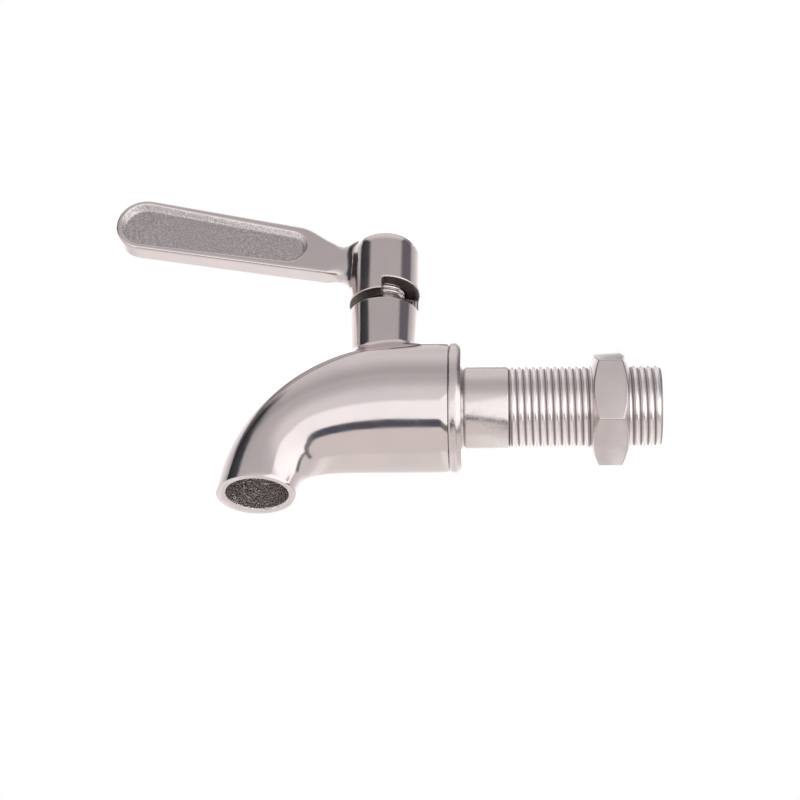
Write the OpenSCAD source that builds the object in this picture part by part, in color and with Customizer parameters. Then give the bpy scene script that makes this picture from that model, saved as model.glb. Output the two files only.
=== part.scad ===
// Beverage dispenser spigot in cast stainless steel: a curved spout casting with a
// quarter-turn ball valve, a lever on top, and a threaded shank with a lock nut.
// Millimetres. The origin is the centre of the flange's wall-side face, +X runs along
// the shank into the vessel, +Z runs up the valve neck, and the spout points to -X.

/* [Shank] */
// Diameter of the shank's plain shoulder, which passes through the hole in the vessel
shank_d = 15.2; // [13:0.1:18]
// Length of the plain shoulder next to the flange
shoulder_len = 8.8; // [4:0.1:11]
// Outside diameter of the shank's thread
thread_d = 15.1; // [12.9:0.1:17.9]
// Distance from one ridge of the thread to the next
thread_pitch = 1.3; // [1:0.05:2]
// Depth of the thread's groove
thread_depth = 0.6; // [0.3:0.05:0.8]
// Length of the shank past the flange's wall-side face
shank_len = 36.3; // [30:0.1:60]
// Diameter of the waterway through the shank
inlet_d = 10; // [7:0.1:11]
// Chamfer at the shank's free end
shank_chamfer = 0.7; // [0.2:0.1:1.2]
// Thickness of the flange that seats on the vessel
flange_t = 2.35; // [1.6:0.05:5]
// Rounding of the flange's wall-side edge
flange_round = 1.0; // [0.3:0.1:1.4]
// Length of the shank's spigot end inside the casting
spigot_len = 4.65; // [3:0.01:4.65]

/* [Lock nut] */
// Steel between the thread and each flat of the nut
nut_wall = 2.2; // [1.6:0.05:4]
// Thickness of the nut
nut_t = 6.7; // [4:0.1:10]
// Distance from the flange's wall-side face to the nut
nut_x = 23.6; // [12:0.1:28]
// Width of the chamfer on the nut's corners
nut_chamfer = 2.15; // [0.5:0.05:2.5]
// Angle of one flat from the side of the tap
nut_turn = 12.4; // [0:0.1:60]

/* [Casting] */
// Outside diameter of the barrel and the flange
body_d = 24.2; // [23:0.1:30]
// Distance from the flange's wall-side face to the neck axis
neck_x = 14.73; // [14.4:0.01:17]
// Distance from the flange's wall-side face to where the spout begins to bend
bend_x = 10; // [8:0.1:12]
// Distance from the flange's wall-side face to the spout's front lip
spout_reach = 44.3; // [42:0.1:55]
// Height of the shank axis above the spout's mouth
spout_drop = 17.9; // [16.5:0.05:24]
// Distance from the flange's wall-side face to the crook under the spout
crook_x = 27.9; // [26.5:0.1:29]
// Outside diameter of the spout's mouth
mouth_d = 14.4; // [12:0.1:16]
// Wall of the spout at its mouth
mouth_wall = 1.53; // [1:0.01:2.2]
// Height of the neck's top above the shank axis
neck_top = 20.5; // [20:0.1:24]
// Diameter of the neck at its top
neck_top_d = 13.4; // [13:0.1:15]
// Diameter of the neck at its foot
neck_foot_d = 12.4; // [12:0.1:14]
// Fillet between the neck and the barrel
neck_fillet = 1.2; // [0.5:0.1:1.6]

/* [Valve] */
// Diameter of the ball
ball_d = 12.6; // [12.2:0.1:13]
// Diameter of the hole through the ball
port_d = 8; // [6:0.1:8.4]
// Plastic of a seat outside the ball
seat_rim = 1.6; // [1.2:0.1:1.9]
// Distance from the ball's centre to the outer face of a seat
seat_reach = 7.7; // [7.2:0.05:7.9]
// Distance from the ball's centre to the inner face of a seat
seat_inner = 3.9; // [3.8:0.05:4.2]
// Diameter of the stem in the neck
stem_d = 7.4; // [7.2:0.1:7.5]
// Diameter of the stem under the lever
spindle_d = 7; // [6:0.1:7.2]
// Width of the stem's tongue in the ball's slot
tongue_w = 2.6; // [2:0.1:3.2]
// Length of the stem's tongue
tongue_len = 5.6; // [4:0.1:6]
// Thickness of the cord of each stem O-ring
stem_cord = 1.08; // [0.8:0.02:1.16]
// Thickness of the cord of the shank's O-ring
shank_cord = 1.1; // [0.8:0.02:1.3]
// Diameter of the gland nut in the neck
gland_d = 9.8; // [9:0.1:10]
// Thickness of the gland nut
gland_t = 2.8; // [2:0.1:3]
// Thickness of the thrust washer
washer_t = 0.55; // [0.3:0.05:0.8]
// Thickness of the stem's collar
collar_t = 1.25; // [0.8:0.05:1.4]

/* [Lever] */
// Diameter of the lever's hub
hub_d = 13.4; // [13:0.1:15]
// Gap between the neck and the hub
hub_gap = 2; // [1:0.1:3]
// Height of the hub
hub_h = 14.3; // [13.5:0.1:18]
// Rounding of the hub's top edge
hub_round = 3.2; // [1.5:0.1:3.6]
// Distance from the neck axis to the lever's tip
lever_reach = 52.6; // [42:0.1:80]
// Rise of the lever above the horizontal
lever_rise = 11.5; // [4:0.1:16]
// Height of the lever's axis above the hub's lower edge, at the neck axis
lever_axis_h = 9.26; // [8.8:0.01:9.6]
// Height of the paddle at its tip
paddle_tip_h = 11.4; // [9:0.1:13]
// Height of the paddle where it meets the arm
paddle_root_h = 9.9; // [8:0.1:11]
// Thickness of the paddle and the arm
paddle_t = 3.9; // [3:0.1:4.6]
// Height of the arm's back above the lever's axis, at its waist
waist_top = 2.15; // [1.2:0.05:2.6]
// Rounding of the edges of the paddle and the arm
paddle_corner = 0.5; // [0.2:0.05:1.2]
// Distance from the hub's side to the arm's waist
waist_out = 2.3; // [1.5:0.1:3]
// Length of the arm's swell from its waist to the paddle
arm_len = 8.8; // [6:0.1:12]
// Rim round the recess at the tip of the paddle
recess_rim = 0.85; // [0.6:0.05:2]
// Radius of the recess's round end next to the arm
recess_root_r = 3.6; // [3:0.1:4.2]
// Distance from the hub's side to the recess
recess_out = 8.7; // [6:0.1:12]
// Width of the recess's sloping wall
recess_slope = 0.85; // [0.2:0.05:1.2]
// Depth of the recess next to the arm
recess_root_depth = 0.85; // [0.3:0.05:1.3]
// Depth of the recess at the tip
recess_tip_depth = 1.3; // [0.3:0.05:1.4]
// Radius of the fillet between the arm and the hub, seen from above
arm_fillet = 2.5; // [1.5:0.1:3]
// Height of the notch in the hub's skirt, above its lower edge
notch_h = 2.5; // [1.5:0.1:3.5]

/* [Stop and set screw] */
// Diameter of the stop pin
pin_d = 1.4; // [1:0.1:1.5]
// Height of the stop pin above the neck
pin_out = 3.4; // [2.6:0.1:3.6]
// Length of the stop pin in the neck
pin_in = 3; // [2:0.1:4]
// Quarter turn between open and shut
turn = 90; // [80:1:100]
// Diameter of the set screw in the hub
screw_d = 3; // [2.5:0.1:3.5]
// Height of the set screw above the hub's lower edge
screw_h = 7.5; // [6.5:0.1:8]
// Depth of the hub's bore for the stem
hub_bore_h = 10.5; // [9.5:0.1:11]
// Distance from the stem's end to the end of the hub's bore
stem_end_gap = 0.5; // [0.1:0.1:1]

/* [Clearances] */
// Gap round a part that turns or is screwed in
running_gap = 0.05; // [0.02:0.01:0.1]
// Gap between parts that are pressed together or seated
seat_gap = 0.02; // [0.01:0.01:0.05]
// Gap between the stop pin and each end of the notch, in degrees
stop_gap = 2.1; // [1:0.1:4]

/* [Hidden] */
$fn = 72;
far = 60;
skin_sides = 48;
bend_rings = 20;
way_sides = 36;
way_rings = 14;
saddle_rings = 5;
saddle_search = 12;
corner_steps = 4;
arc_step = 6;
tip_angles = [12, 24, 36, 48, 60, 72, 80, 86];

steel = "#b9b1af";
bright_steel = "#cfc7c4";
white_ptfe = "#f1efe8";
black_rubber = "#262626";

body_r = body_d / 2;
shank_r = shank_d / 2;
thread_r = thread_d / 2;
thread_crest = 0.2;
relief = 0.3;
ball_r = ball_d / 2;
seat_r = ball_r + seat_rim;
chamber_r = seat_r + running_gap;
chamber_front = neck_x + seat_reach + seat_gap;
seat_socket_r = ball_r + running_gap;
seat_port_r = port_d / 2 + 0.1;
seam_chamfer = 0.2;
lip_lean = 1;
way_lead = 0.6;
way_overrun = 1;

stem_r = stem_d / 2;
spindle_r = spindle_d / 2;
neck_bore_r = stem_r + running_gap;
gland_r = gland_d / 2;
gland_bore_r = gland_r + running_gap;
gland_drop = 0.4;
gland_top = neck_top - gland_drop;
gland_bottom = gland_top - gland_t;
washer_top = gland_bottom;
washer_bottom = washer_top - washer_t;
collar_top = washer_bottom - running_gap;
collar_bottom = collar_top - collar_t;
gland_bore_bottom = collar_bottom - running_gap;
stem_bottom = ball_r + 4 * running_gap;
slot_floor = port_d / 2 + 0.7;
tongue_bottom = slot_floor + 2 * running_gap;
groove_r = stem_r + running_gap - seat_gap - stem_cord - seat_gap;
groove_h = stem_cord + 0.32;
groove_low = chamber_r + 0.45;
groove_pitch = 2.8;

hub_r = hub_d / 2;
hub_bottom = neck_top + hub_gap;
hub_top = hub_bottom + hub_h;
skirt_h = 4.5;
skirt_bore_r = spindle_r + 0.5;
hub_bore_r = spindle_r + seat_gap;
hub_bore_top = hub_bottom + hub_bore_h;
spindle_top = hub_bore_top - stem_end_gap;
screw_z = hub_bottom + screw_h;
screw_r = screw_d / 2;
screw_inset = 0.5;
screw_socket_d = screw_d / 2;
screw_socket_depth = 1.4;

pin_r = pin_d / 2;
pin_ring_r = (gland_bore_r + neck_top_d / 2) / 2;
pin_half_angle = asin(pin_r / pin_ring_r);
pin_angle = 7.5;
notch_from = pin_angle - turn - pin_half_angle - stop_gap;
notch_to = pin_angle + pin_half_angle + stop_gap;

spigot_r = chamber_r - running_gap;
spigot_end = flange_t + spigot_len;
shank_groove_x = flange_t + 0.2;
shank_groove_w = shank_cord + 0.2;
shank_groove_r = chamber_r - seat_gap - shank_cord - seat_gap;

nut_bore_r = thread_r + running_gap;
nut_flat_r = thread_r + nut_wall;
nut_corner_r = nut_flat_r / cos(30);

function mix(a, b, t) = a + (b - a) * t;
function clamp01(t) = min(1, max(0, t));
function smooth(t) = let (c = clamp01(t)) c * c * (3 - 2 * c);

// A closed skin over rings of points, all with the same number of points
module skin(rings) {
    count = len(rings[0]);
    last = len(rings) - 1;
    points = [for (ring = rings) each ring];
    sides = [for (r = [0:last - 1], i = [0:count - 1])
        let (a = r * count + i, b = r * count + (i + 1) % count)
        each [[a, a + count, b], [b, a + count, b + count]]];
    first_cap = [[for (i = [0:count - 1]) i]];
    last_cap = [[for (i = [0:count - 1]) last * count + count - 1 - i]];
    polyhedron(points, concat(first_cap, sides, last_cap));
}

// Puts a shape that is drawn round +Z on the shank axis, pointing into the vessel
module on_shank_axis(x = 0) { translate([x, 0, 0]) rotate([0, 90, 0]) children(); }

module on_neck_axis(z = 0) { translate([-neck_x, 0, z]) children(); }

// A ring of the spout between a point of its outer curve and one of its inner curve
function fan_ring(outer, inner, sides) =
    let (mid = (outer + inner) / 2, arm = (outer - inner) / 2, r = norm(arm))
    [for (i = [0:sides - 1]) let (a = 360 * i / sides)
        [mid[0] + arm[0] * cos(a), r * sin(a), mid[1] + arm[1] * cos(a)]];

function cubic(t, a, b, c, d) =
    let (u = 1 - t) u * u * u * a + 3 * u * u * t * b + 3 * u * t * t * c + t * t * t * d;

// Outer curve of a bend: it starts level and ends nearly upright at the front lip
function outer_curve(t, start_x, start_r, lip_x) =
    let (round_pull = 0.5523, span = lip_x - start_x, fall = start_r + spout_drop)
    cubic(t, [-start_x, start_r], [-start_x - round_pull * span, start_r],
          [-lip_x + lip_lean, -spout_drop + round_pull * fall], [-lip_x, -spout_drop]);

// Inner curve of a bend: it is drawn into the crook between the barrel and the spout
function inner_curve(t, start_x, start_r, crook, lip_x) =
    cubic(t, [-start_x, -start_r], [-crook, -start_r], [-crook, -start_r], [-lip_x, -spout_drop]);

function bend(start_x, start_r, crook, front_lip, back_lip, rings, sides) =
    [for (k = [0:rings]) let (t = k / rings)
        fan_ring(outer_curve(t, start_x, start_r, front_lip),
                 inner_curve(t, start_x, start_r, crook, back_lip), sides)];

function straight_ring(x, r, sides) = fan_ring([-x, r], [-x, -r], sides);

// Barrel and spout as one smooth skin
module casting_skin() {
    skin(concat(
        [straight_ring(flange_t, body_r - seam_chamfer, skin_sides),
         straight_ring(flange_t + seam_chamfer, body_r, skin_sides)],
        bend(bend_x, body_r, crook_x, spout_reach, spout_reach - mouth_d, bend_rings, skin_sides)));
}

// The curved waterway from the valve chamber down to the mouth
module spout_waterway() {
    start = chamber_front - way_lead;
    front = spout_reach - mouth_wall;
    back = spout_reach - mouth_d + mouth_wall;
    way = bend(start, seat_port_r, back - 2, front, back, way_rings, way_sides);
    skin(concat(way, [[for (p = way[way_rings]) p - [0, 0, way_overrun]]]));
}

// The upper point of one of the bend's rings at a side step y: [x, z]
function ring_top(t, y) =
    let (outer = outer_curve(t, bend_x, body_r, spout_reach),
         inner = inner_curve(t, bend_x, body_r, crook_x, spout_reach - mouth_d),
         mid = (outer + inner) / 2, arm = (outer - inner) / 2)
    mid + arm * sqrt(1 - pow(y / norm(arm), 2));

// Height of the casting's back above a place, found between two rings of the bend by halving
function back_z(x, y, low = 0, high = 0.5, steps = saddle_search) =
    let (t = (low + high) / 2, p = ring_top(t, y))
    x > -bend_x ? sqrt(body_r * body_r - y * y)
    : steps == 0 ? p[1]
    : p[0] > x ? back_z(x, y, t, high, steps - 1) : back_z(x, y, low, t, steps - 1);

// Fillet that follows the saddle where the neck stands on the barrel and the start of the bend
module neck_saddle() {
    foot_r = neck_foot_d / 2;
    function saddle_ring(r, lift) = [for (i = [0:skin_sides - 1]) let (a = -360 * i / skin_sides)
        [r * cos(a), r * sin(a), back_z(r * cos(a) - neck_x, r * sin(a)) + lift]];
    function flat_ring(r, z) = [for (i = [0:skin_sides - 1]) let (a = -360 * i / skin_sides)
        [r * cos(a), r * sin(a), z]];
    sunk = 0.06;
    on_neck_axis() skin(concat(
        [flat_ring(foot_r + neck_fillet, body_r / 2)],
        [for (k = [0:saddle_rings]) let (a = 90 * k / saddle_rings)
            saddle_ring(foot_r - sunk + neck_fillet * (1 - sin(a)),
                        neck_fillet * (1 - cos(a)) - sunk)],
        [flat_ring(foot_r / 2, body_r + 2 * neck_fillet)]));
}

module spout_body() {
    rim = 0.3;
    color(steel) difference() {
        union() {
            casting_skin();
            neck_saddle();
            on_neck_axis() rotate_extrude() polygon([
                [0, body_r / 2], [neck_foot_d / 2, body_r / 2], [neck_foot_d / 2, body_r],
                [neck_top_d / 2, neck_top - rim], [neck_top_d / 2 - rim, neck_top], [0, neck_top]]);
        }
        on_shank_axis(-chamber_front) cylinder(r = chamber_r, h = chamber_front);
        spout_waterway();
        on_neck_axis() cylinder(r = neck_bore_r, h = neck_top + 1);
        on_neck_axis(gland_bore_bottom) cylinder(r = gland_bore_r, h = neck_top);
        on_neck_axis(neck_top - pin_in) rotate([0, 0, pin_angle])
            translate([pin_ring_r, 0, 0]) cylinder(r = pin_r, h = pin_in + 1);
    }
}

module stop_pin() {
    chamfer = 0.2;
    color(bright_steel) on_neck_axis(neck_top - pin_in) rotate([0, 0, pin_angle])
        translate([pin_ring_r, 0, 0]) rotate_extrude() polygon([
            [0, seat_gap], [pin_r - seat_gap, seat_gap], [pin_r - seat_gap, pin_in + pin_out - chamfer],
            [pin_r - seat_gap - chamfer, pin_in + pin_out], [0, pin_in + pin_out]]);
}

// The thread's grooves as rings, side by side between two places: [radius, place] points
function thread_grooves(from, to) =
    let (turns = floor((to - from - thread_crest) / thread_pitch), root_r = thread_r - thread_depth,
         flank = thread_pitch / 2 - thread_crest)
    [for (i = [0:turns - 1]) let (x = from + i * thread_pitch, next = x + thread_pitch)
        each [[thread_r, x + thread_crest], [root_r, x + thread_crest + flank],
              [root_r, next - flank], [thread_r, next]]];

module threaded_shank() {
    rounding = [for (a = [90:-15:0])
        [body_r - flange_round + flange_round * sin(a), -flange_round + flange_round * cos(a)]];
    color(steel) on_shank_axis() rotate_extrude() polygon(concat(
        [[inlet_d / 2, -spigot_end], [spigot_r - seam_chamfer, -spigot_end],
         [spigot_r, -spigot_end + seam_chamfer],
         [spigot_r, -shank_groove_x - shank_groove_w], [shank_groove_r, -shank_groove_x - shank_groove_w],
         [shank_groove_r, -shank_groove_x], [spigot_r, -shank_groove_x], [spigot_r, -flange_t],
         [body_r - seam_chamfer, -flange_t], [body_r, -flange_t + seam_chamfer]],
        rounding,
        [[shank_r, 0], [shank_r, shoulder_len - relief], [thread_r - relief, shoulder_len],
         [thread_r, shoulder_len + relief]],
        thread_grooves(shoulder_len + relief, shank_len - shank_chamfer),
        [[thread_r, shank_len - shank_chamfer], [thread_r - shank_chamfer, shank_len],
         [inlet_d / 2, shank_len]]));
}

// An O-ring round +Z: centre radius of its cord and the cord's thickness
module oring(centre_r, cord) {
    rotate_extrude() translate([centre_r, 0]) circle(d = cord, $fn = 24);
}

module shank_oring() {
    color(black_rubber) on_shank_axis(-shank_groove_x - shank_groove_w / 2)
        oring(shank_groove_r + seat_gap + shank_cord / 2, shank_cord);
}

// A seat ring: side is 1 towards the vessel and -1 towards the spout
module seat(side) {
    color(white_ptfe) translate([-neck_x, 0, 0]) difference() {
        on_shank_axis(side > 0 ? seat_inner : -seat_reach) difference() {
            cylinder(r = seat_r, h = seat_reach - seat_inner);
            translate([0, 0, -1]) cylinder(r = seat_port_r, h = seat_reach);
        }
        sphere(r = seat_socket_r);
    }
}

module front_seat() { seat(-1); }
module rear_seat() { seat(1); }

module ball() {
    color(bright_steel) on_neck_axis() difference() {
        sphere(r = ball_r);
        on_shank_axis(-far / 2) cylinder(r = port_d / 2, h = far);
        translate([-tongue_w / 2 - running_gap, -far / 2, slot_floor])
            cube([tongue_w + 2 * running_gap, far, far]);
    }
}

module stem() {
    collar_r = gland_bore_r - running_gap;
    upper_groove = groove_low + groove_pitch;
    tip_chamfer = 0.4;
    color(bright_steel) on_neck_axis() union() {
        rotate_extrude() polygon([
            [0, stem_bottom], [stem_r, stem_bottom],
            [stem_r, groove_low], [groove_r, groove_low],
            [groove_r, groove_low + groove_h], [stem_r, groove_low + groove_h],
            [stem_r, upper_groove], [groove_r, upper_groove],
            [groove_r, upper_groove + groove_h], [stem_r, upper_groove + groove_h],
            [stem_r, collar_bottom], [collar_r, collar_bottom], [collar_r, collar_top],
            [spindle_r, collar_top], [spindle_r, spindle_top - tip_chamfer],
            [spindle_r - tip_chamfer, spindle_top], [0, spindle_top]]);
        translate([-tongue_w / 2, -tongue_len / 2, tongue_bottom])
            cube([tongue_w, tongue_len, stem_bottom - tongue_bottom + 1]);
    }
}

module stem_oring(level) {
    color(black_rubber) on_neck_axis(groove_low + groove_h / 2 + level * groove_pitch)
        oring(groove_r + seat_gap + stem_cord / 2, stem_cord);
}

module stem_oring_lower() { stem_oring(0); }
module stem_oring_upper() { stem_oring(1); }

module thrust_washer() {
    color(white_ptfe) on_neck_axis(washer_bottom) difference() {
        cylinder(r = gland_r, h = washer_t);
        translate([0, 0, -1]) cylinder(r = spindle_r + running_gap, h = washer_t + 2);
    }
}

module gland_nut() {
    slot_w = 1.2;
    slot_depth = 0.9;
    color(bright_steel) on_neck_axis(gland_bottom) difference() {
        cylinder(r = gland_r, h = gland_t);
        translate([0, 0, -1]) cylinder(r = spindle_r + running_gap, h = gland_t + 2);
        translate([-far / 2, -slot_w / 2, gland_t - slot_depth]) cube([far, slot_w, far]);
    }
}

// A section across the lever: [y, height] points of a rounded rectangle
function rounded_section(top, bottom, half_t, corner) =
    let (c = min(corner, half_t, (top - bottom) / 2))
    [for (q = [0:3], k = [0:corner_steps])
        let (a = 90 * (q + k / corner_steps), y = (q == 0 || q == 3) ? half_t - c : c - half_t,
             n = q < 2 ? top - c : bottom + c)
        [-y - c * cos(a), n + c * sin(a)]];

// Turns a distance along the lever, a side step and a height above its axis into a place
function on_lever(s, y, n) =
    [-neck_x - s * cos(lever_rise) + n * sin(lever_rise), y,
     hub_bottom + lever_axis_h + s * sin(lever_rise) + n * cos(lever_rise)];

tip_r = paddle_tip_h / 2;
tip_s = (lever_reach - tip_r) / cos(lever_rise);
waist_s = hub_r + waist_out;
root_s = waist_s + arm_len;
paddle_half = paddle_t / 2;
arm_sweep = 0.25;
arm_taper = 0.035;
web_reach = 1.9;
function half_height(s) = mix(paddle_root_h, paddle_tip_h, clamp01((s - root_s) / (tip_s - root_s))) / 2;
function near_hub(s) = max(0, waist_s - max(s, hub_r + 0.1));
function lever_top(s) = mix(waist_top, half_height(s), smooth((s - waist_s) / (root_s - waist_s)))
    + arm_sweep * pow(near_hub(s), 2);
function lever_bottom(s) = -half_height(s) + arm_taper * max(0, root_s - s);
function arm_half(s) =
    let (reach = hub_r + arm_fillet, rise = paddle_half + arm_fillet,
         centre = sqrt(reach * reach - rise * rise), dip = clamp01((centre - s) / arm_fillet))
    paddle_half + arm_fillet * (1 - sqrt(max(0, 1 - dip * dip))) * (s > hub_r * 0.8 ? 1 : 0);

// The arm and paddle in one skin, from inside the hub to the round tip
module lever_blade() {
    inner_s = hub_r * 0.75;
    arm = [for (k = [0:20]) mix(inner_s, root_s, k / 20)];
    paddle = [for (k = [1:3]) mix(root_s, tip_s, k / 3)];
    function body_ring(s) = [for (p = rounded_section(lever_top(s), lever_bottom(s),
        min(arm_half(s), hub_r * 0.55), paddle_corner)) on_lever(s, p[0], p[1])];
    function tip_ring(a) = let (h = tip_r * cos(a), edge = paddle_corner * (1 - sqrt(1 - pow(sin(a), 8))))
        [for (p = rounded_section(h, -h, paddle_half - edge, paddle_corner))
            on_lever(tip_s + tip_r * sin(a), p[0], p[1])];
    skin(concat([for (s = concat(arm, paddle)) body_ring(s)], [for (a = tip_angles) tip_ring(a)]));
}

// Web that runs down the hub from the underside of the arm, in level sections
module lever_web() {
    inner = hub_r / 2;
    low = hub_bottom + notch_h / 2;
    high = hub_bottom + lever_axis_h - paddle_root_h / 2 + 2;
    steps = 8;
    function section(t) = let (out = hub_r - 0.3 + (web_reach + 0.3) * t * t, w = paddle_half * mix(0.9, 1.3, t))
        [for (p = rounded_section(out, inner, w, paddle_corner)) [-neck_x - p[1], p[0], mix(low, high, t)]];
    skin([for (k = [steps:-1:0]) section(k / steps)]);
}

// Outline of the recess: two arcs joined by straight tapering edges, [s, n] points
function recess_outline(shrink) =
    let (r_tip = tip_r - recess_rim - shrink, r_root = recess_root_r - shrink,
         near = hub_r + recess_out + recess_root_r)
    concat([for (a = [-90:arc_step:90]) [tip_s + r_tip * cos(a), r_tip * sin(a)]],
           [for (a = [90:arc_step:270]) [near + r_root * cos(a), r_root * sin(a)]]);

// The recess in one side of the paddle, with a sloping wall and a floor that falls away towards
// the tip; side is 1 or -1
module paddle_recess(side) {
    proud = 1;
    clear = 0.03;
    function depth_at(s) = let (root = hub_r + recess_out)
        mix(recess_root_depth, recess_tip_depth, (s - root) / (tip_s + tip_r - root));
    function facing(points) = side < 0 ? points : [for (i = [len(points) - 1:-1:0]) points[i]];
    above = [for (p = recess_outline(0)) on_lever(p[0], side * (paddle_half + proud), p[1])];
    mouth = [for (p = recess_outline(0)) on_lever(p[0], side * (paddle_half + clear), p[1])];
    floor = [for (p = recess_outline(recess_slope))
        on_lever(p[0], side * (paddle_half - depth_at(p[0])), p[1])];
    skin([facing(above), facing(mouth), facing(floor)]);
}

module hub() {
    dome = 0.25;
    straight = hub_h - hub_round - dome;
    edge = [for (a = [0:10:90])
        [hub_r - hub_round + hub_round * cos(a), straight + hub_round * sin(a)]];
    on_neck_axis(hub_bottom) rotate_extrude()
        polygon(concat([[0, 0], [hub_r, 0]], edge, [[0, hub_h]]));
}

module notch() {
    arc = [for (k = [0:12]) mix(notch_from, notch_to, k / 12)];
    on_neck_axis(hub_bottom - 1) linear_extrude(notch_h + 1)
        polygon(concat([[0, 0]], [for (a = arc) 2 * hub_r * [cos(a), sin(a)]]));
}

module lever() {
    color(steel) difference() {
        union() {
            hub();
            lever_blade();
            lever_web();
        }
        on_neck_axis(hub_bottom - 1) cylinder(r = skirt_bore_r, h = skirt_h + 1);
        on_neck_axis(hub_bottom) cylinder(r = hub_bore_r, h = hub_bore_top - hub_bottom);
        on_neck_axis(screw_z) rotate([-90, 0, 0]) cylinder(r = screw_r, h = far);
        notch();
        paddle_recess(1);
        paddle_recess(-1);
    }
}

module set_screw() {
    from_y = spindle_r + seat_gap;
    to_y = hub_r - screw_inset;
    color(bright_steel) on_neck_axis(screw_z) rotate([-90, 0, 0]) difference() {
        translate([0, 0, from_y]) cylinder(r = screw_r - seat_gap, h = to_y - from_y);
        translate([0, 0, to_y - screw_socket_depth])
            cylinder(d = screw_socket_d / cos(30), h = far, $fn = 6);
    }
}

// A hexagon with both corners chamfered, the way a turned nut is
module lock_nut() {
    face_r = nut_corner_r - nut_chamfer;
    slope = nut_chamfer * tan(30);
    lead_in = 0.6;
    color(steel) on_shank_axis(nut_x) difference() {
        intersection() {
            rotate([0, 0, nut_turn]) cylinder(r = nut_corner_r, h = nut_t, $fn = 6);
            rotate_extrude() polygon([
                [0, 0], [face_r, 0], [nut_corner_r + 0.1, slope + 0.1 * tan(30)],
                [nut_corner_r + 0.1, nut_t - slope - 0.1 * tan(30)], [face_r, nut_t], [0, nut_t]]);
        }
        translate([0, 0, -1]) cylinder(r = nut_bore_r, h = nut_t + 2);
        for (end = [0, 1]) translate([0, 0, end * nut_t]) mirror([0, 0, end])
            translate([0, 0, -1]) cylinder(r1 = nut_bore_r + 1 + lead_in, r2 = nut_bore_r - 0.2,
                                           h = 1 + lead_in + 0.2);
    }
}

spout_body();
stop_pin();
threaded_shank();
shank_oring();
front_seat();
rear_seat();
gland_nut();
thrust_washer();
lever();
set_screw();
stem();
stem_oring_lower();
stem_oring_upper();
ball();
lock_nut();
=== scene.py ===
# %% [markdown]
# # A beverage dispenser spigot in cast stainless steel
# The real thing is a small tap. An investment casting makes the spout and the valve neck, a lever
# turns a ball inside it by a quarter turn, and a threaded shank with a lock nut holds it in the
# wall of a drinks dispenser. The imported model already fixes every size, place and joint, so this
# notebook only adds what the eye sees: smooth castings, real threads, and the finish of each metal.

# %% Load the fixed frame
from math import cos, pi, radians, sin, sqrt

import bmesh
import bpy
from mathutils import Matrix, Vector, noise


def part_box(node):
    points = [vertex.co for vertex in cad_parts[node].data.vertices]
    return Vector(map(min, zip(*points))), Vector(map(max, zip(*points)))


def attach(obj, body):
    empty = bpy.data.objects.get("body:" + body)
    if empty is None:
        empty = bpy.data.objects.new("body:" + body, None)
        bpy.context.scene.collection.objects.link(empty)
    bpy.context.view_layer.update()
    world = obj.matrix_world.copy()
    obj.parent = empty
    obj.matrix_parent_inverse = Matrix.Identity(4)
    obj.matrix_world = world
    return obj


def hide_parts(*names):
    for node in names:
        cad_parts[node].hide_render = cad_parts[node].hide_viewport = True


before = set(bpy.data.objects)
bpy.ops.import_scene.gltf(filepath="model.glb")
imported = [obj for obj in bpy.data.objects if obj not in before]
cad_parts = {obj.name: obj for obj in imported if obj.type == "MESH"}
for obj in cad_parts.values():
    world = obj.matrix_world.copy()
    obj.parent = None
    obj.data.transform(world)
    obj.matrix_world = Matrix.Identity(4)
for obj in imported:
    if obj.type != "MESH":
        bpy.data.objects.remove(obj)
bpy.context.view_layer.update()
MM = 0.001

# %% [markdown]
# ## Sizes
# Every piece is modelled in millimetres and scaled to metres at its end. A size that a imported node
# can give is read from that node's box, so the looks cannot drift from the working model. The rest
# are the same driving dimensions that the maker's drawing has.

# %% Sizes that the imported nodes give
def node_box(node):
    low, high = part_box(node)
    return low / MM, high / MM


casting_low, casting_high = node_box("spout_body")
body_r = casting_high.y
flange_t = -casting_high.x
spout_reach = -casting_low.x
spout_drop = -casting_low.z
neck_top = casting_high.z
stem_low, stem_high = node_box("stem")
neck_x = -(stem_low.x + stem_high.x) / 2
lever_low = node_box("lever")[0]
hub_bottom = lever_low.z
lever_reach = -lever_low.x - neck_x
shank_low, shank_high = node_box("threaded_shank")
spigot_end = -shank_low.x
shank_len = shank_high.x
nut_low, nut_high = node_box("lock_nut")
nut_x = nut_low.x
nut_t = nut_high.x - nut_low.x
print("neck axis at", round(-neck_x, 2), "and the nut starts at", round(nut_x, 2))

# %% [markdown]
# ## Camera
# The photograph looks at the tap from its side and from well below, with a long lens. The place,
# tilt and focal length were worked out from known points of the tap, such as the flange's rim and
# the nut's corners, so a render can be compared with the photograph region by region.

# %% The camera of the photograph
view_azimuth = radians(3.53)
view_elevation = radians(-31.29)
view_roll = radians(1.26)
camera_place = Vector((9.7194, -342.7013, -206.8046))
sensor_mm = 36
focal_mm = 98.1

ahead = Vector((-sin(view_azimuth) * cos(view_elevation),
                cos(view_azimuth) * cos(view_elevation), -sin(view_elevation)))
level_right = Vector((cos(view_azimuth), sin(view_azimuth), 0))
level_up = level_right.cross(ahead)
right = level_right * cos(view_roll) + level_up * sin(view_roll)
up = level_up * cos(view_roll) - level_right * sin(view_roll)

lens = bpy.data.cameras.new("photo_camera")
lens.sensor_width = sensor_mm
lens.lens = focal_mm
lens.clip_start = 0.01
camera = bpy.data.objects.new("photo_camera", lens)
camera.matrix_world = (Matrix.Translation(camera_place * MM)
                       @ Matrix((right, up, -ahead)).transposed().to_4x4())
bpy.context.scene.collection.objects.link(camera)
bpy.context.scene.camera = camera
print("camera at", [round(v) for v in camera_place], "mm")

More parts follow.
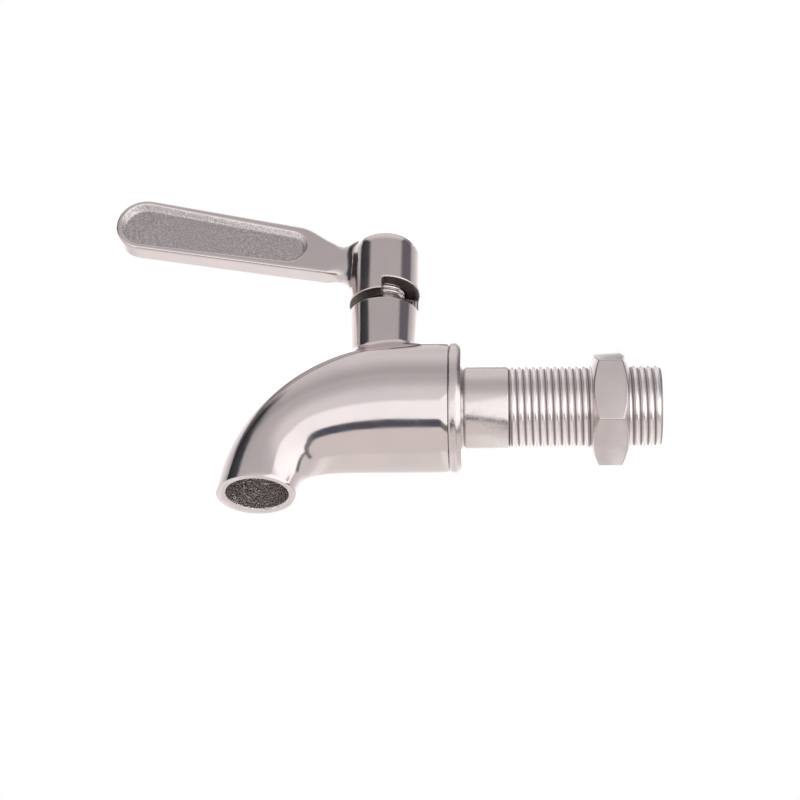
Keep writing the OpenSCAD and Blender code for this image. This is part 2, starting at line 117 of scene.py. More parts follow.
# %% [markdown]
# ## Colours and nodes
# Colours are written as sRGB hex, the way a colour picker shows them, while shaders want linear
# numbers, so one function turns one into the other. Another adds any shader node: it takes the
# node's settings by name, and its inputs as plain values or as outputs to link.

# %% Helpers for materials
def linear(level):
    return level / 12.92 if level <= 0.04045 else ((level + 0.055) / 1.055) ** 2.4


def srgb(hex_colour):
    return [linear(int(hex_colour[i:i + 2], 16) / 255) for i in (1, 3, 5)] + [1.0]


def add_node(tree, kind, inputs, **settings):
    node = tree.nodes.new("ShaderNode" + kind)
    for name, value in settings.items():
        setattr(node, name, value)
    for name, value in inputs.items():
        if isinstance(value, bpy.types.NodeSocket):
            tree.links.new(value, node.inputs[name])
        else:
            node.inputs[name].default_value = value
    return node


def set_ramp(node, stops):
    """Gives a Color Ramp its stops, as (place from 0 to 1, sRGB hex)."""
    ramp = node.color_ramp
    while len(ramp.elements) < len(stops):
        ramp.elements.new(0.5)
    for element, (place, colour) in zip(ramp.elements, stops):
        element.position = place
        element.color = srgb(colour)


def per_mm(size):
    """The texture scale at which one feature is about this many millimetres wide."""
    return 1 / (size * MM)


# %% [markdown]
# ## The light tent
# Polished steel has hardly any colour of its own: it shows the room. The photograph was taken in
# a tent of white cloth with dark gaps, and tracing a ray from the camera to the steel and off it
# tells where each one is. The front wall is grey in the middle and paler above. On both sides it
# ends in a dark arch, which the neck and the hub show as upright bands and the bend as a long dark
# streak. Behind the arches the walls are pale. Low on the right stands a white panel with a
# slanting edge, over a dark gap and a pale table. Cards and lamps could make all this, but a world
# that colours each direction gives clean bands with no noise. Only glossy rays see it. The camera
# sees plain white, and rough surfaces get an even soft light.

# %% Tools for a world of directions
def calc(tree, operation, *values):
    return add_node(tree, "Math", dict(enumerate(values)), operation=operation).outputs[0]


def above(tree, value, edge, soft):
    """1 above an edge and 0 below it, with a soft step. The edge is a number or an output."""
    over = calc(tree, "SUBTRACT", value, edge)
    return add_node(tree, "MapRange", {"Value": over, "From Min": -soft, "From Max": soft},
                    interpolation_type="SMOOTHSTEP").outputs[0]


def below(tree, value, edge, soft):
    return calc(tree, "SUBTRACT", 1.0, above(tree, value, edge, soft))


def product(tree, first, *others):
    for other in others:
        first = calc(tree, "MULTIPLY", first, other)
    return first


def line(tree, value, start, end):
    """A straight line between two points, and level beyond them."""
    return add_node(tree, "MapRange", {"Value": value, "From Min": start[0], "To Min": start[1],
                                       "From Max": end[0], "To Max": end[1]}).outputs[0]


def ramp_over(tree, angle, low, high, stops):
    """A colour ramp over an angle, with its stops at angles."""
    place = line(tree, angle, (low, 0), (high, 1))
    ramp = add_node(tree, "ValToRGB", {"Fac": place})
    set_ramp(ramp, [((at - low) / (high - low), colour) for at, colour in stops])
    return ramp.outputs["Color"]


def cover(tree, under, share, colour):
    return add_node(tree, "MixRGB", {"Fac": share, "Color1": under, "Color2": colour}).outputs[0]


# %% [markdown]
# Azimuth and elevation are worked out for each direction, in degrees, with azimuth 0 towards the
# camera's side and positive to the right. Each piece of the tent is then a band between edges,
# and an edge can itself be a line over the other angle, which makes the arches and the slant.

# %% Build the tent
def tent_colours(tree, azimuth, elevation):
    sideways = calc(tree, "ABSOLUTE", azimuth)
    front = ramp_over(tree, elevation, -90, 90, [
        (-20, "#CECECE"), (0, "#CACACA"), (8, "#BFBFBF"), (14, "#B3B2B2"), (22, "#A9A9A9"),
        (31, "#A8A7A7"), (36, "#A1A0A0"), (42, "#A1A0A0"), (48, "#A8A7A7"), (56, "#B3B2B2"),
        (66, "#C0BEBE"), (75, "#C4C3C3"), (88, "#BCBCBC")])
    behind = ramp_over(tree, azimuth, -180, 180, [
        (-180, "#F6F8F6"), (-150, "#F2F2F0"), (-130, "#DEDEDC"), (-112, "#CACAC9"),
        (-97, "#A8A8A8"), (-50, "#969696"), (50, "#A0A0A0"), (88, "#8C8C8E"), (100, "#A6A6A6"),
        (120, "#C5C5C5"), (140, "#EEEEEC"), (180, "#F6F8F6")])
    low_behind = ramp_over(tree, sideways, 0, 180, [
        (60, "#C2C1BF"), (130, "#C2C1BF"), (148, "#C9C8C6"), (158, "#D6D7D5"), (167, "#DADBD9"),
        (174, "#CCCBC9"), (180, "#C8C7C5")])
    arch_top = calc(tree, "ADD", line(tree, sideways, (42, 32), (80, 53)),
                    line(tree, sideways, (80, 0), (150, 9)))
    arch_top = calc(tree, "ADD", arch_top, line(tree, azimuth, (0, 0), (10, 6)))
    arch_foot = calc(tree, "ADD", line(tree, sideways, (90, 38), (110, 49)),
                     line(tree, sideways, (110, 0), (164, 6)))
    low_wall = cover(tree, behind, below(tree, elevation, 5, 14), low_behind)
    beyond = product(tree, above(tree, sideways, 50, 5), below(tree, elevation, arch_top, 3))
    walls = cover(tree, front, beyond, low_wall)
    arch = product(tree, above(tree, sideways, 53, 6), below(tree, elevation, arch_top, 3.5),
                   above(tree, elevation, 14, 5))
    post = product(tree, arch, below(tree, sideways, 91, 2.5))
    arc = product(tree, arch, above(tree, sideways, 88, 3), above(tree, elevation, arch_foot, 3),
                  0.8)
    gap_colour = ramp_over(tree, azimuth, -180, 180, [
        (-92, "#141416"), (-84, "#2C2D30"), (-62, "#3C3D42"), (-40, "#4A4B50"), (20, "#5C5C62")])
    walls = cover(tree, walls, calc(tree, "MAXIMUM", post, arc), gap_colour)

    panel_top = line(tree, azimuth, (-2, -17), (40, 13))
    panel_foot = line(tree, azimuth, (-10, -48), (20, -57))
    panel_side = line(tree, elevation, (-55, 64), (0, 101))
    panel = product(tree, below(tree, elevation, panel_top, 3),
                    above(tree, elevation, panel_foot, 2), above(tree, azimuth, -62, 6),
                    below(tree, azimuth, panel_side, 3))
    panel_colour = ramp_over(tree, azimuth, -180, 180, [
        (-10, "#ECEEED"), (30, "#F2F4F3"), (60, "#FFFFFF")])
    under = product(tree, below(tree, elevation, panel_foot, 2), above(tree, azimuth, -62, 6),
                    below(tree, azimuth, 112, 6))
    beside = product(tree, above(tree, azimuth, panel_side, 3),
                     below(tree, calc(tree, "SUBTRACT", azimuth, panel_side), 12, 4),
                     below(tree, elevation, -3, 3))
    edge_colour = ramp_over(tree, azimuth, -180, 180, [(-4, "#4A4D56"), (16, "#70706F")])
    tent = cover(tree, walls, panel, panel_colour)
    tent = cover(tree, tent, calc(tree, "MAXIMUM", under, beside), edge_colour)
    table = below(tree, elevation, line(tree, azimuth, (0, -63.5), (24, -67)), 2)
    return cover(tree, tent, table, srgb("#C4C1BE"))


def build_tent():
    world = bpy.data.worlds.new("light_tent")
    world.use_nodes = True
    tree = world.node_tree
    tree.nodes.clear()
    look = add_node(tree, "TexCoord", {}).outputs["Generated"]
    turned = add_node(tree, "VectorRotate", {"Vector": look, "Angle": -view_azimuth},
                      rotation_type="Z_AXIS")
    axes = add_node(tree, "SeparateXYZ", {0: turned.outputs[0]})
    forward = calc(tree, "MULTIPLY", axes.outputs["Y"], -1.0)
    azimuth = calc(tree, "DEGREES", calc(tree, "ARCTAN2", axes.outputs["X"], forward))
    elevation = calc(tree, "DEGREES", calc(tree, "ARCSINE", axes.outputs["Z"]))
    reflected = add_node(tree, "Background", {"Color": tent_colours(tree, azimuth, elevation),
                                              "Strength": 1.8})
    even = add_node(tree, "Background", {"Color": srgb("#FFFFFF"), "Strength": 0.7})
    white = add_node(tree, "Background", {"Color": srgb("#FFFFFF"), "Strength": 1.0})
    ray = add_node(tree, "LightPath", {})
    seen = add_node(tree, "MixShader", {0: ray.outputs["Is Glossy Ray"], 1: even.outputs[0],
                                        2: reflected.outputs[0]})
    backdrop = add_node(tree, "MixShader", {0: ray.outputs["Is Camera Ray"], 1: seen.outputs[0],
                                            2: white.outputs[0]})
    add_node(tree, "OutputWorld", {"Surface": backdrop.outputs[0]})
    bpy.context.scene.world = world


build_tent()
bpy.context.scene.view_settings.view_transform = "Standard"
print("tent built")

# %% [markdown]
# ## Finishes
# Each metal is the same austenitic stainless steel, 304, and differs in how its surface was made.
# So each finish starts as a mirror and is made less perfect in two ways: noise changes its
# roughness, and small bumps bend its reflections. A pattern has a real size in millimetres and
# reads the piece's own coordinates, so it doesn't slide when a joint moves.

# %% Noise, bumps and a bare finish
def noise_at(tree, place, size, detail=2.0, roughness=0.5):
    """Noise with features of a size in millimetres."""
    return add_node(tree, "TexNoise", {"Vector": place, "Scale": per_mm(size), "Detail": detail,
                                       "Roughness": roughness}).outputs[0]


def spread(tree, value, low, high):
    """Spreads a noise, which stays mostly between 0.3 and 0.7, over a range."""
    return add_node(tree, "MapRange", {"Value": value, "From Min": 0.3, "From Max": 0.7,
                                       "To Min": low, "To Max": high}).outputs[0]


def raised(tree, height, depth_mm, under=None):
    """A bump whose height, from 0 to 1, stands for a depth in millimetres."""
    inputs = {"Height": height, "Distance": depth_mm * MM, "Strength": 1.0}
    if under is not None:
        inputs["Normal"] = under
    return add_node(tree, "Bump", inputs).outputs[0]


def new_finish(name, base, metallic, roughness):
    finish = bpy.data.materials.new(name)
    finish.use_nodes = True
    tree = finish.node_tree
    tree.nodes.clear()
    shader = add_node(tree, "BsdfPrincipled", {"Base Color": srgb(base), "Metallic": metallic,
                                               "Roughness": roughness})
    add_node(tree, "OutputMaterial", {"Surface": shader.outputs[0]})
    place = add_node(tree, "TexCoord", {}).outputs["Object"]
    return finish, tree, shader, place


# %% [markdown]
# The casting is ground and buffed by hand, so it is bright but not flat: broad ripples bend its
# reflections a little, fine pits dull them, and the buffing leaves a haze that comes and goes. A
# nut isn't buffed but tumbled with others, which makes it darker and duller.

# %% Polished steel
pit_depth_mm = 0.0022


def polished_steel(name, ripple_mm, dullest, deep="#C8BEBF", pale="#CEC2C1"):
    """Ground and buffed cast 304: a bright mirror with hand ripples, fine pits and buffing haze."""
    finish, tree, shader, place = new_finish(name, pale, 1.0, 0.12)
    haze = noise_at(tree, place, 3.5, detail=3.0)
    tree.links.new(spread(tree, haze, 0.06, dullest), shader.inputs["Roughness"])
    tint = add_node(tree, "MixRGB", {"Fac": spread(tree, noise_at(tree, place, 9.0), 0.0, 1.0),
                                     "Color1": srgb(deep), "Color2": srgb(pale)})
    tree.links.new(tint.outputs[0], shader.inputs["Base Color"])
    ripples = raised(tree, noise_at(tree, place, 5.5, detail=1.0), ripple_mm)
    pits = raised(tree, noise_at(tree, place, 0.35, detail=3.0, roughness=0.6), pit_depth_mm, ripples)
    tree.links.new(pits, shader.inputs["Normal"])
    return finish


# %% [markdown]
# Where nobody polishes, the casting keeps the skin that blasting gave it, small round grains that
# break the mirror up. Little light gets out of the hollows between them, so these are darker too.

# %% Blasted steel
def blasted_steel(name, base, grain_mm, depth_mm, roughness, metallic=1.0):
    """As-cast 304 that was blasted clean: an even skin of small round grains, with no mirror."""
    finish, tree, shader, place = new_finish(name, base, metallic, roughness)
    grain = noise_at(tree, place, grain_mm, roughness=0.55)
    darker = [0.5 * level for level in srgb(base)[:3]] + [1.0]
    shade = add_node(tree, "MixRGB", {"Fac": spread(tree, grain, 0.0, 1.0), "Color1": darker,
                                      "Color2": srgb(base)})
    tree.links.new(shade.outputs[0], shader.inputs["Base Color"])
    tree.links.new(raised(tree, grain, depth_mm), shader.inputs["Normal"])
    return finish


# %% [markdown]
# A turning tool leaves rings as fine as its feed, and they stretch each highlight across the piece.
# A wave texture along X makes them, because the shank, which is the turned piece that shows, has
# its axis there.

# %% Turned steel
def turned_steel(name, feed_mm, depth_mm, roughness):
    """Turned 304: fine rings from the tool's feed, and a few dull flecks."""
    finish, tree, shader, place = new_finish(name, "#CDC3C2", 1.0, roughness)
    rings = add_node(tree, "TexWave", {"Vector": place, "Scale": 2 * pi / (20 * feed_mm * MM),
                                       "Distortion": 1.5, "Detail": 2.0, "Detail Scale": 0.3},
                     bands_direction="X")
    flecks = noise_at(tree, place, 0.6, detail=3.0, roughness=0.6)
    dulled = spread(tree, flecks, roughness * 0.7, roughness * 1.5)
    tree.links.new(dulled, shader.inputs["Roughness"])
    feed = raised(tree, rings.outputs["Fac"], depth_mm)
    tree.links.new(raised(tree, flecks, 0.004, feed), shader.inputs["Normal"])
    return finish


# %% [markdown]
# A thread that was cut with a die is rougher in its roots, where the die tore the steel. Its colour
# is lighter on the crests and darker in the roots, which is painted highlight and painted shade. A
# bump can't tell the crests from the roots, but the distance from the shank's axis can, so this
# finish measures it and blends from one to the other.

# %% Thread-cut steel
thread_r = 7.55
thread_depth = 0.48
# Above this depth the thread's colour is fully the painted crest highlight
lit_crest_depth = 0.23


def cut_thread_steel(name, root_r, crest_r):
    """Die-cut 304: a painted highlight on crests, painted shade and roughness in the torn roots."""
    finish, tree, shader, place = new_finish(name, "#D4CACA", 1.0, 0.3)
    across = add_node(tree, "VectorMath", {0: place, 1: (0.0, 1.0, 1.0)}, operation="MULTIPLY")
    r = add_node(tree, "VectorMath", {0: across.outputs[0]}, operation="LENGTH").outputs["Value"]
    crest_light = add_node(tree, "MapRange", {"Value": r, "From Min": root_r * MM,
                                         "From Max": crest_r * MM}).outputs[0]
    # Painted shade in the roots and painted highlight on the crests, blended by the distance from the
    # axis
    shade = add_node(tree, "MixRGB", {"Fac": crest_light, "Color1": srgb("#A59B9A"),
                                      "Color2": srgb("#E6DEDE")})
    tree.links.new(shade.outputs[0], shader.inputs["Base Color"])
    dull = add_node(tree, "MapRange", {"Value": crest_light, "To Min": 0.5, "To Max": 0.26}).outputs[0]
    tree.links.new(dull, shader.inputs["Roughness"])
    torn = raised(tree, noise_at(tree, place, 0.35, detail=3.0, roughness=0.6), pit_depth_mm)
    tree.links.new(torn, shader.inputs["Normal"])
    return finish


# %% [markdown]
# Now each finish gets its sizes. The raw skin of the waterway has coarse, deep grains, because the
# photograph shows it as a dark hole with bright specks. A darker copy of it is painted shade on the
# hub's underside and notch, down in the gap over the neck, and a lighter copy of the blasted steel is
# painted light on the sloping walls of the paddle's panels.

# %% The metals of the tap
steel_spout = polished_steel("polished cast 304 stainless", 0.028, 0.14)
steel_lever = polished_steel("buffed cast 304 stainless", 0.02, 0.18)
steel_blasted = blasted_steel("blasted cast 304 stainless", "#CDC4C4", 0.28, 0.035, 0.42)
# A lighter copy of the blasted steel: painted light on the sloping walls of the paddle's panels
steel_painted_light_wall = blasted_steel("blasted cast 304 stainless lightened as painted light", "#F4ECEC", 0.3, 0.03, 0.5)
steel_raw = blasted_steel("raw cast 304 stainless", "#F0E8E6", 0.42, 0.2, 0.26, 0.88)
# A darker copy of the raw steel: painted shade on the hub's underside and notch
steel_painted_shade = blasted_steel("raw cast 304 stainless darkened as painted shade", "#7A7270", 0.4, 0.12, 0.42)
steel_turned = turned_steel("turned 304 stainless", 0.14, 0.0016, 0.2)
steel_thread = cut_thread_steel("thread-cut 304 stainless", thread_r - thread_depth,
                                thread_r - lit_crest_depth)
steel_nut = polished_steel("tumbled 304 stainless", 0.008, 0.3, "#BCB3B3", "#C6BBBA")
steel_ball = polished_steel("lapped 304 stainless", 0.0, 0.08)
print(len(bpy.data.materials), "finishes so far")

# %% [markdown]
# The seats and the washer are PTFE, a waxy white plastic that is slightly dull, and the O-rings are
# nitrile rubber. Neither shows much, but both are seen when the lever is turned or the tap is taken
# apart, so they get their real finish too.

# %% Plastic and rubber
def moulded(name, base, shade, roughness, grain_mm, depth_mm):
    """A moulded or skived soft part: a faint change of shade and a fine grain."""
    finish, tree, shader, place = new_finish(name, base, 0.0, roughness)
    grain = noise_at(tree, place, grain_mm)
    mix = add_node(tree, "MixRGB", {"Fac": spread(tree, grain, 0.0, 1.0), "Color1": srgb(base),
                                    "Color2": srgb(shade)})
    tree.links.new(mix.outputs[0], shader.inputs["Base Color"])
    tree.links.new(raised(tree, grain, depth_mm), shader.inputs["Normal"])
    return finish


ptfe = moulded("skived PTFE", "#F1EFE8", "#E6E3DA", 0.45, 0.8, 0.01)
rubber = moulded("nitrile rubber", "#262626", "#1E1E1F", 0.6, 0.3, 0.01)
for node, finish in [("front_seat", ptfe), ("rear_seat", ptfe), ("thrust_washer", ptfe),
                     ("shank_oring", rubber), ("stem_oring_lower", rubber),
                     ("stem_oring_upper", rubber), ("ball", steel_ball), ("stem", steel_turned),
                     ("stop_pin", steel_turned), ("gland_nut", steel_turned),
                     ("set_screw", steel_turned)]:
    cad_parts[node].data.materials.clear()
    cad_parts[node].data.materials.append(finish)
print("finishes given to the inner nodes")

# %% [markdown]
# ## Tools for solid pieces
# Almost everything here is round, or is a bar whose section changes along it. Both are one sheet
# of quads, made by the grid operator, rolled up and closed along its seam. Lofting by hand would
# need lists of faces, and a spin can't follow a bend.

# %% Sheets and solids
def rolled(bm, sides, rings, place):
    """Rolls a grid of quads into a tube: place(share of a turn, ring number) gives each point."""
    sheet = bmesh.ops.create_grid(bm, x_segments=sides, y_segments=rings, size=0.5)["verts"]
    for v in sheet:
        v.co = place(v.co.x + 0.5, round((v.co.y + 0.5) * rings))
    bmesh.ops.remove_doubles(bm, verts=sheet, dist=0.0005)


def close_up(bm):
    """Caps what is open and turns every face outwards."""
    edges = [e for e in bm.edges if e.is_boundary]
    if edges:
        bmesh.ops.holes_fill(bm, edges=edges, sides=0)
    bmesh.ops.recalc_face_normals(bm, faces=bm.faces)


def as_object(name, bm, *finishes):
    close_up(bm)
    mesh = bpy.data.meshes.new(name)
    bm.to_mesh(mesh)
    bm.free()
    for finish in finishes:
        mesh.materials.append(finish)
    piece = bpy.data.objects.new(name, mesh)
    bpy.context.scene.collection.objects.link(piece)
    return piece


def revolved(name, outline, sides, *finishes):
    """A solid of revolution about +Z from an outline of (radius, height), axis ends included."""
    bm = bmesh.new()
    rolled(bm, sides, len(outline) - 1, lambda turn, ring: Vector((
        outline[ring][0] * cos(2 * pi * turn), outline[ring][0] * sin(2 * pi * turn),
        outline[ring][1])))
    return as_object(name, bm, *finishes)


# %% [markdown]
# Pieces are joined and cut as a machinist would think of them, with exact booleans, which carry
# the finish of the cutter over to the faces that it makes. A piece is turned and moved in its mesh,
# so its object stays at the origin, and at the very end it is scaled to metres, shaded, and handed
# to the frame: the body that it moves with, and the imported nodes that it replaces.

# %% Booleans, places and the hand-over
def apply_modifiers(piece):
    bpy.context.view_layer.update()
    shape = bpy.data.meshes.new_from_object(
        piece.evaluated_get(bpy.context.evaluated_depsgraph_get()))
    piece.modifiers.clear()
    piece.data = shape


def combine(piece, tool, operation):
    """Joins a solid to another, or cuts or intersects it with it, and uses that one up."""
    step = piece.modifiers.new("combine", "BOOLEAN")
    step.operation = operation
    step.object = tool
    step.solver = "EXACT"
    step.material_mode = "TRANSFER"
    apply_modifiers(piece)
    bpy.data.objects.remove(tool)


def moved(piece, matrix):
    piece.data.transform(matrix)
    return piece


ON_SHANK = Matrix.Rotation(pi / 2, 4, "Y")
ON_NECK = Matrix.Translation((-neck_x, 0, 0))


def finish_piece(piece, body, slot, *nodes, crease=32):
    """Scales a piece to metres, shades it and hands it to the frame."""
    mesh = piece.data
    mesh.transform(Matrix.Scale(MM, 4))
    mesh.shade_smooth()
    mesh.set_sharp_from_angle(angle=radians(crease))
    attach(piece, body)
    if nodes:
        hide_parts(*nodes)
    print(piece.name, len(mesh.polygons), "faces")


# %% [markdown]
# ## The casting
# The barrel runs level from the flange and turns down into the spout. In the tap's middle plane
# its outer and inner edges are two curves, and every section is a circle that stands on the line
# between them, so the loft stays round and its reflections flow. Polishing has rolled the barrel's
# edge off a little where it meets the flange, which bends the bands there.

# %% Curves of the spout
lip_lean = 1.0
crook_x = 27.9
bend_x = 10.0
bend_end = 0.985
round_pull = 0.5523
mouth_d = 14.4
mouth_wall = 1.53
lip_round = 0.22
edge_roll = 0.16
edge_roll_len = 1.6
port_r = 4.1
chamber_r = 7.95
chamber_front = 22.45
casting_sides = 128


def cubic(t, a, b, c, d):
    u = 1 - t
    return u ** 3 * a + 3 * u * u * t * b + 3 * u * t * t * c + t ** 3 * d


def outer_edge(t, start_x, start_r, lip_x):
    """The back of the bend: a quarter ellipse, near enough, that leans a little at the lip."""
    span = lip_x - start_x
    fall = start_r + spout_drop
    return cubic(t, Vector((-start_x, start_r)), Vector((-start_x - round_pull * span, start_r)),
                 Vector((lip_lean - lip_x, round_pull * fall - spout_drop)),
                 Vector((-lip_x, -spout_drop)))


def inner_edge(t, start_x, start_r, crook, lip_x):
    """The belly of the bend, which both its handles pull into the crook."""
    elbow = Vector((-crook, -start_r))
    return cubic(t, Vector((-start_x, -start_r)), elbow, elbow, Vector((-lip_x, -spout_drop)))


def spanned_circle(edges, turn):
    """A point of the circle that stands on the line between two edge points."""
    outer, inner = edges
    arm = (outer - inner) / 2
    flat = (outer + inner) / 2 + arm * cos(2 * pi * turn)
    return Vector((flat.x, arm.length * sin(2 * pi * turn), flat.y))


def upright(x, r):
    """The edge points of an upright circle at a distance from the flange."""
    return Vector((-x, r)), Vector((-x, -r))


print("the spout reaches", round(spout_reach, 2), "and drops", round(spout_drop, 2), "mm")

# %% [markdown]
# The outside is one loft from the flange to the lip: the rolled edge, the level barrel, the bend,
# and a small round at the lip. Its rings are close together in the bend, since a mirror shows every
# flat that a coarse mesh has.

# %% Loft the outside
def casting_outside():
    rolled_edge = [upright(flange_t + edge_roll_len * k / 6, body_r - edge_roll * (1 - k / 6) ** 2)
                   for k in range(7)]
    bend_rings = 72
    bend = [(outer_edge(t, bend_x, body_r, spout_reach),
             inner_edge(t, bend_x, body_r, crook_x, spout_reach - mouth_d))
            for t in (bend_end * k / bend_rings for k in range(bend_rings + 1))]
    lip = [(Vector((-spout_reach + inset, -spout_drop + rise)),
            Vector((-spout_reach + mouth_d - inset, -spout_drop + rise)))
           for inset, rise in [(0.3 * lip_round, 0.3 * lip_round), (lip_round, 0)]]
    rings = rolled_edge + [upright(flange_t + x, body_r) for x in (3.2, 5.4)] + bend + lip
    bm = bmesh.new()
    rolled(bm, casting_sides, len(rings) - 1,
           lambda turn, ring: spanned_circle(rings[ring], turn))
    return as_object("spout_casting", bm, steel_spout)


spout = casting_outside()
print("outside of the casting:", len(spout.data.polygons), "faces")

# %% [markdown]
# The neck is a slightly tapered post. Its foot is a small fillet that follows the saddle where it
# stands on the barrel and ends in a fine ground line, which the photograph shows dark. The loft
# starts inside the barrel, follows the saddle and ends at the neck's rounded top.

# %% The valve neck
neck_top_r = 6.7
neck_foot_r = 6.2
neck_fillet = 1.2
neck_rim = 0.3
gland_bore_r = 4.95
neck_bore_r = 3.75
gland_bore_bottom = 15.4


def back_height(x, y):
    """Height of the casting's back above a place. In the bend, halving finds the section there."""
    if x > -bend_x:
        return sqrt(body_r ** 2 - y ** 2)
    low, high = 0.0, 0.5
    for _ in range(24):
        t = (low + high) / 2
        outer = outer_edge(t, bend_x, body_r, spout_reach)
        inner = inner_edge(t, bend_x, body_r, crook_x, spout_reach - mouth_d)
        arm = (outer - inner) / 2
        top = (outer + inner) / 2 + arm * sqrt(1 - (y / arm.length) ** 2)
        if top.x > x:
            low = t
        else:
            high = t
    return top.y


def neck_post():
    steps = 10
    foot = [(neck_foot_r + neck_fillet * (1 - sin(pi / 2 * k / steps)),
             neck_fillet * (1 - cos(pi / 2 * k / steps))) for k in range(steps + 1)]
    top_round = [(neck_top_r - neck_rim * (1 - cos(a)), neck_top - neck_rim * (1 - sin(a)))
                 for a in (0, pi / 8, pi / 4, 3 * pi / 8, pi / 2)]

    def place(turn, ring):
        a = 2 * pi * turn
        if ring == 0:
            r, z = neck_foot_r + neck_fillet, body_r / 2
        elif ring <= len(foot):
            r, lift = foot[ring - 1]
            z = back_height(r * cos(a) - neck_x, r * sin(a)) + lift - 0.03
        else:
            r, z = top_round[ring - len(foot) - 1]
        return Vector((r * cos(a), r * sin(a), z))

    bm = bmesh.new()
    rolled(bm, casting_sides, len(foot) + len(top_round), place)
    return moved(as_object("neck", bm, steel_spout), ON_NECK)


combine(spout, neck_post(), "UNION")
print("with the neck:", len(spout.data.polygons), "faces")

# %% [markdown]
# Inside, the casting is left as it came out of the ceramic shell, and the mouth shows it: a dark,
# rough skin with bright specks. The waterway is a loft of its own whose points are pushed in and
# out by noise, so that the roughness is real shape, and it is cut out of the solid with the raw
# finish on it. The valve chamber and the neck's bores are machined.

# %% Waterway, chamber and bores
way_rings = 70
way_sides = 128
skin_lump_mm = 0.9
skin_depth_mm = 0.1
mouth_round = 0.3
core_shift = Vector((0.28, -0.3, 0))


def waterway():
    front_x = spout_reach - mouth_wall
    back_x = spout_reach - mouth_d + mouth_wall
    rings = [(outer_edge(t, chamber_front - 0.5, port_r, front_x),
              inner_edge(t, chamber_front - 0.5, port_r, back_x - 2, back_x))
             for t in (bend_end * k / way_rings for k in range(way_rings + 1))]
    edge = [(mouth_round * (1 - cos(a)), -mouth_round * (1 - sin(a)))
            for a in (pi / 8 * k for k in range(5))]
    mouth = [(Vector((-front_x - out, -spout_drop - drop)),
              Vector((-back_x + out, -spout_drop - drop)))
             for out, drop in edge + [(mouth_round + 0.5, 0.5)]]
    rough = len(rings) - 3
    rings += mouth

    def place(turn, ring):
        point = spanned_circle(rings[ring], turn) + core_shift * (ring / (len(rings) - 1)) ** 2
        if ring > rough:
            return point
        middle = (rings[ring][0] + rings[ring][1]) / 2
        outwards = (point - Vector((middle.x, 0, middle.y))).normalized()
        lump = noise.noise(point / skin_lump_mm) + 0.6 * noise.noise(point / (0.4 * skin_lump_mm))
        return point + outwards * skin_depth_mm * lump

    bm = bmesh.new()
    rolled(bm, way_sides, len(rings) - 1, place)
    return as_object("waterway", bm, steel_raw)


def drilled(r, low, high, matrix, sides=96):
    return moved(revolved("drill", [(0, low), (r, low), (r, high), (0, high)], sides, steel_turned),
                 matrix)


combine(spout, drilled(chamber_r, -chamber_front, 0, ON_SHANK), "DIFFERENCE")
combine(spout, waterway(), "DIFFERENCE")
combine(spout, drilled(neck_bore_r, 0, neck_top + 1, ON_NECK), "DIFFERENCE")
combine(spout, drilled(gland_bore_r, gland_bore_bottom, neck_top + 1, ON_NECK), "DIFFERENCE")
finish_piece(spout, "tap_body", "cast_steel_polished", "spout_body")

# %% [markdown]
# ## Threads
# The shank's thread is cut with a die. It is a groove with a rounded root between broad crests,
# which the nut has rubbed flat. The stem's thread is rolled between hard dies, which leaves a plain
# wave. Both come from one sheet of quads: if its grid is sheared, so that each of its lines follows
# the helix, the crests and roots stay clean lines all the way. The sheet is made longer than needed
# and cut off square with the bisect operator.

# %% A threaded bar
thread_pitch = 1.3
# Each point of a profile is a share of the pitch and a share of the depth, from crest to crest
cut_profile = [(0.0, 0.07), (0.08, 0.02), (0.18, 0.0), (0.28, 0.02), (0.36, 0.07), (0.41, 0.15),
               (0.62, 0.88), (0.65, 0.97), (0.68, 1.0), (0.71, 0.97), (0.74, 0.88), (0.95, 0.15)]
rolled_profile = [(k / 8, (1 - cos(2 * pi * k / 8)) / 2) for k in range(8)]


def threaded_bar(name, crest_r, depth, pitch, start, end, taper, *finishes, sides=96,
                 profile=cut_profile):
    """A bar with a right-hand thread about +Z, and a chamfer of this size at its far end."""
    per_turn = len(profile)
    turns = int((end - start) / pitch) + 3

    def place(turn, ring):
        share, deep = profile[ring % per_turn]
        z = start + pitch * (ring // per_turn + share + turn - 1.5)
        r = min(crest_r - depth * deep, crest_r - taper + max(0.0, end - z))
        return Vector((r * cos(2 * pi * turn), r * sin(2 * pi * turn), z))

    bm = bmesh.new()
    rolled(bm, sides, turns * per_turn, place)
    for at, beyond in [(start, False), (end, True)]:
        bmesh.ops.bisect_plane(bm, geom=bm.verts[:] + bm.edges[:] + bm.faces[:], dist=0.0001,
                               plane_co=(0, 0, at), plane_no=(0, 0, 1), clear_outer=beyond,
                               clear_inner=not beyond)
    return as_object(name, bm, *finishes)


# %% [markdown]
# ## The shank
# The flange, the plain shoulder and the thread are one turned piece, with the waterway drilled
# through it. On the vessel's side the flange's edge is eased, and a small undercut parts its face
# from the shoulder. On the other side a chamfered seam, a tenth of a millimetre wide, shows where
# the casting begins. The thread starts after a narrow relief, in which the die runs out. A lathe
# makes all this from one outline, and so does the script.

# %% Turn the shank
shank_r = 7.6
inlet_r = 5.0
bore_flare = 0.35
shoulder_len = 8.8
relief = 0.3
flange_ease = 0.42
undercut = 0.28
seam_gap = 0.1
seam_chamfer = 0.16
spigot_r = 7.9
groove_x = 2.55
groove_w = 1.3
groove_r = 6.81
shank_chamfer = 0.7
shank_sides = 128


